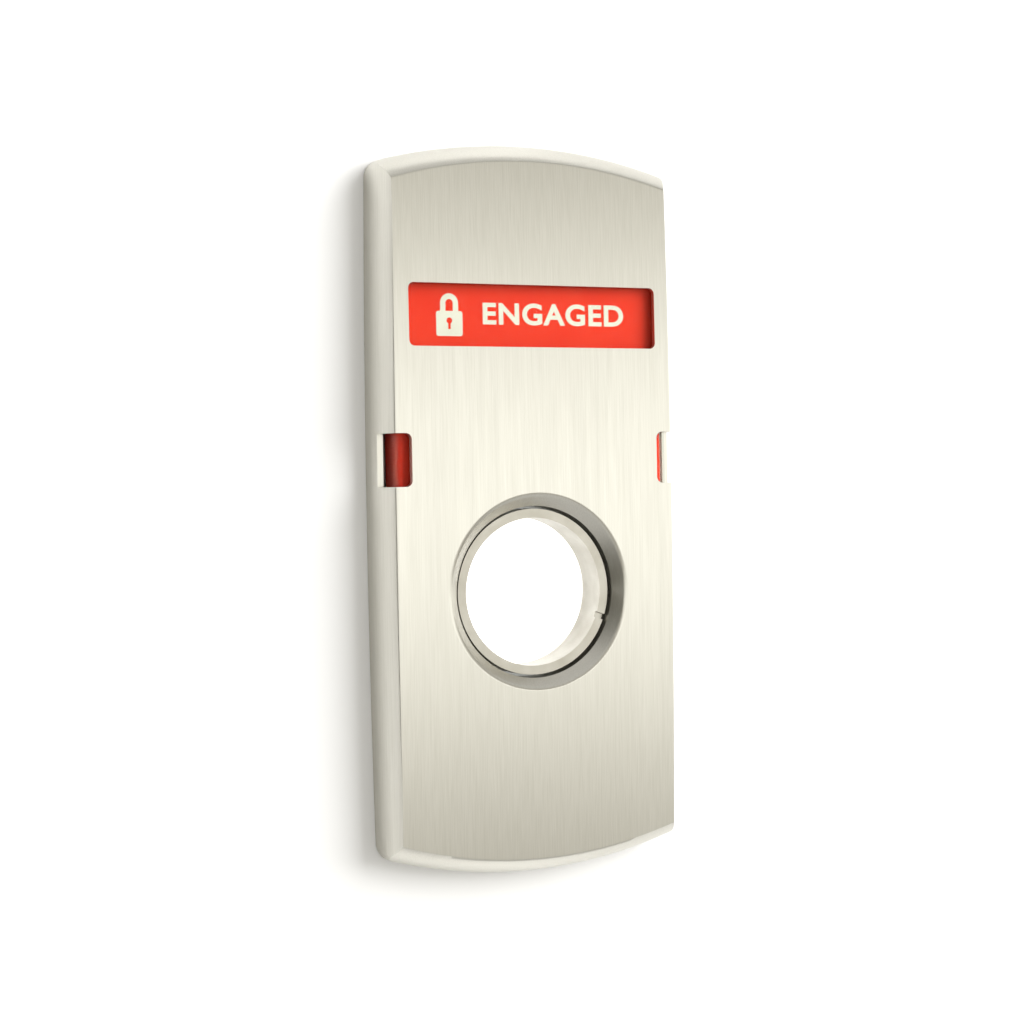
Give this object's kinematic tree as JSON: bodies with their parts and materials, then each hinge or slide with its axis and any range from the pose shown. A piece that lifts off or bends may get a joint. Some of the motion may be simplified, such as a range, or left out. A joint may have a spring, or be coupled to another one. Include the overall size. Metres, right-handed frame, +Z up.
{
  "type": "door occupancy indicator",
  "caption": "Tall bowed steel escutcheon with a round cylinder bore, a front window and two side windows that show whether the door is locked.",
  "frame": {"origin": "on the axis of the cylinder bore, in the plane of the door face behind the cover", "axes": "+Z up along the cover, +X to the right seen from the front, the indicator faces -Y"},
  "size_m": [0.066, 0.0106, 0.1479],
  "materials": {
    "stainless_cover": "vertical brushed satin stainless steel",
    "zinc_plated_steel": "plain zinc plated pressing",
    "turned_steel": "turned, satin",
    "spring_steel": "dark spring steel",
    "brass_pin": "turned brass",
    "white_acetal": "moulded, matt",
    "black_acetal": "moulded, matt",
    "red_card": "printed film on plastic",
    "green_card": "printed film on plastic",
    "clear_polycarbonate": "clear, polished"
  },
  "bodies": {
    "housing": {"escutcheon_cover": "stainless_cover", "window_lens": "clear_polycarbonate", "side_lens_left": "clear_polycarbonate", "side_lens_right": "clear_polycarbonate", "base_plate": "zinc_plated_steel", "bore_sleeve": "turned_steel", "idler_pin": "brass_pin", "guide_rail_left": "black_acetal", "guide_rail_right": "black_acetal", "drag_spring": "spring_steel", "spring_rivet": "brass_pin", "mounting_post_upper": "turned_steel", "mounting_post_lower": "turned_steel", "base_screws": "zinc_plated_steel"},
    "ring": {"drive_ring": "zinc_plated_steel"},
    "idler": {"idler_gear": "white_acetal"},
    "indicator": {"indicator_slider": "white_acetal", "engaged_card": "red_card", "vacant_card": "green_card", "engaged_flag_left": "red_card", "engaged_flag_right": "red_card", "vacant_flag_left": "green_card", "vacant_flag_right": "green_card"}
  },
  "joints": [
    {"name": "ring_turn", "type": "hinge", "parent": "housing", "child": "ring", "pos_m": [0, 0, 0], "axis": [0, -1, 0], "range_deg": [0, 90]},
    {"name": "idler_turn", "type": "hinge", "parent": "housing", "child": "idler", "pos_m": [0.019, 0, 0.02057], "axis": [0, -1, 0], "range_deg": [-260.5, 0]},
    {"name": "indicator_slide", "type": "slide", "parent": "housing", "child": "indicator", "axis": [0, 0, -1], "range_m": [0, 0.01453]}
  ],
  "couplings": [
    {"joint": "idler_turn", "follows": "ring_turn", "ratio": -2.8889},
    {"joint": "indicator_slide", "follows": "ring_turn", "m_per_rad": 0.0092444}
  ]
}
